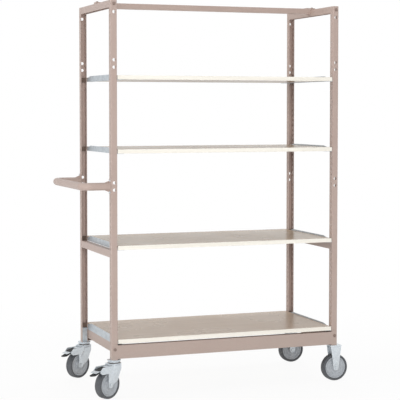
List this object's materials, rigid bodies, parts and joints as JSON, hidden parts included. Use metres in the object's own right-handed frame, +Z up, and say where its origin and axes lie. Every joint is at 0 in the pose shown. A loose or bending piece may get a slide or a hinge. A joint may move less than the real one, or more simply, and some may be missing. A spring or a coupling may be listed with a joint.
{
  "type": "shelf trolley",
  "caption": "Tall wheeled rack with slotted steel posts, wooden shelves on galvanised end brackets, a bent-tube push handle at one end, swivel casters with brake pedals and fixed casters.",
  "frame": {"origin": "on the floor under the middle of the whole trolley, handle and casters included", "axes": "+X from the handle end to the fixed-caster end, +Y from the front to the back, +Z up"},
  "size_m": [1.2953, 0.6096, 1.7619],
  "materials": {
    "frame_paint": "satin taupe powder coat",
    "board_grey": "smooth grey-beige melamine",
    "board_tan": "smooth tan melamine",
    "edge_band": "satin cream",
    "galvanised": "galvanised",
    "dark_plastic": "matt dark brown",
    "zinc": "bright zinc plate",
    "rim_grey": "satin light grey",
    "tyre_grey": "matt dark grey",
    "pedal_rubber": "matt black",
    "bolt_steel": "dull dark steel"
  },
  "bodies": {
    "frame": {"axle_back_right": "zinc", "axle_front_right": "zinc", "ball_races": "bolt_steel", "base_beam_back": "frame_paint", "base_beam_front": "frame_paint", "base_rail_left": "frame_paint", "base_rail_right": "frame_paint", "caster_bolts": "bolt_steel", "caster_fork_back_right": "zinc", "caster_fork_front_right": "zinc", "caster_insert_back_left": "galvanised", "caster_insert_back_right": "galvanised", "caster_insert_front_left": "galvanised", "caster_insert_front_right": "galvanised", "edge_bands": "edge_band", "frame_bolts": "bolt_steel", "handle_bolts": "zinc", "mid_rail_left": "frame_paint", "mid_rail_right": "frame_paint", "post_back_left": "frame_paint", "post_back_right": "frame_paint", "post_front_left": "frame_paint", "post_front_right": "frame_paint", "push_handle": "frame_paint", "shelf_board_bottom": "board_tan", "shelf_board_lower": "board_grey", "shelf_board_top": "board_grey", "shelf_board_upper": "board_grey", "shelf_bracket_bottom_left": "galvanised", "shelf_bracket_bottom_right": "galvanised", "shelf_bracket_lower_left": "galvanised", "shelf_bracket_lower_right": "galvanised", "shelf_bracket_top_left": "galvanised", "shelf_bracket_top_right": "galvanised", "shelf_bracket_upper_left": "galvanised", "shelf_bracket_upper_right": "galvanised", "shelf_clips": "dark_plastic", "swivel_plate_back_left": "zinc", "swivel_plate_front_left": "zinc", "top_rail_centre": "frame_paint", "top_rail_left": "frame_paint", "top_rail_right": "frame_paint"},
    "swivel_front_left": {"caster_fork_front_left": "zinc", "axle_front_left": "zinc", "pedal_pin_front_left": "zinc"},
    "pedal_front_left": {"brake_pedal_front_left": "zinc", "pedal_pad_front_left": "pedal_rubber"},
    "wheel_front_left": {"wheel_rim_front_left": "rim_grey", "tyre_front_left": "tyre_grey"},
    "swivel_back_left": {"caster_fork_back_left": "zinc", "axle_back_left": "zinc", "pedal_pin_back_left": "zinc"},
    "pedal_back_left": {"brake_pedal_back_left": "zinc", "pedal_pad_back_left": "pedal_rubber"},
    "wheel_back_left": {"wheel_rim_back_left": "rim_grey", "tyre_back_left": "tyre_grey"},
    "wheel_front_right": {"wheel_rim_front_right": "rim_grey", "tyre_front_right": "tyre_grey"},
    "wheel_back_right": {"wheel_rim_back_right": "rim_grey", "tyre_back_right": "tyre_grey"}
  },
  "joints": [
    {"name": "swivel_turn_front_left", "type": "hinge", "parent": "frame", "child": "swivel_front_left", "pos_m": [-0.49283, -0.22169, 0.168], "axis": [0, 0, 1], "continuous": true},
    {"name": "wheel_spin_front_left", "type": "hinge", "parent": "swivel_front_left", "child": "wheel_front_left", "pos_m": [-0.52991, -0.24141, 0.0625], "axis": [-0.4695, 0.8829, 0], "continuous": true},
    {"name": "pedal_press_front_left", "type": "hinge", "parent": "swivel_front_left", "child": "pedal_front_left", "pos_m": [-0.52814, -0.24047, 0.138], "axis": [-0.4695, 0.8829, 0], "range_deg": [-10, 0]},
    {"name": "swivel_turn_back_left", "type": "hinge", "parent": "frame", "child": "swivel_back_left", "pos_m": [-0.49283, 0.27331, 0.168], "axis": [0, 0, 1], "continuous": true},
    {"name": "wheel_spin_back_left", "type": "hinge", "parent": "swivel_back_left", "child": "wheel_back_left", "pos_m": [-0.52991, 0.25359, 0.0625], "axis": [-0.4695, 0.8829, 0], "continuous": true},
    {"name": "pedal_press_back_left", "type": "hinge", "parent": "swivel_back_left", "child": "pedal_back_left", "pos_m": [-0.52814, 0.25453, 0.138], "axis": [-0.4695, 0.8829, 0], "range_deg": [-10, 0]},
    {"name": "wheel_spin_front_right", "type": "hinge", "parent": "frame", "child": "wheel_front_right", "pos_m": [0.58518, -0.22169, 0.0625], "axis": [0, 1, 0], "continuous": true},
    {"name": "wheel_spin_back_right", "type": "hinge", "parent": "frame", "child": "wheel_back_right", "pos_m": [0.58518, 0.27331, 0.0625], "axis": [0, 1, 0], "continuous": true}
  ]
}
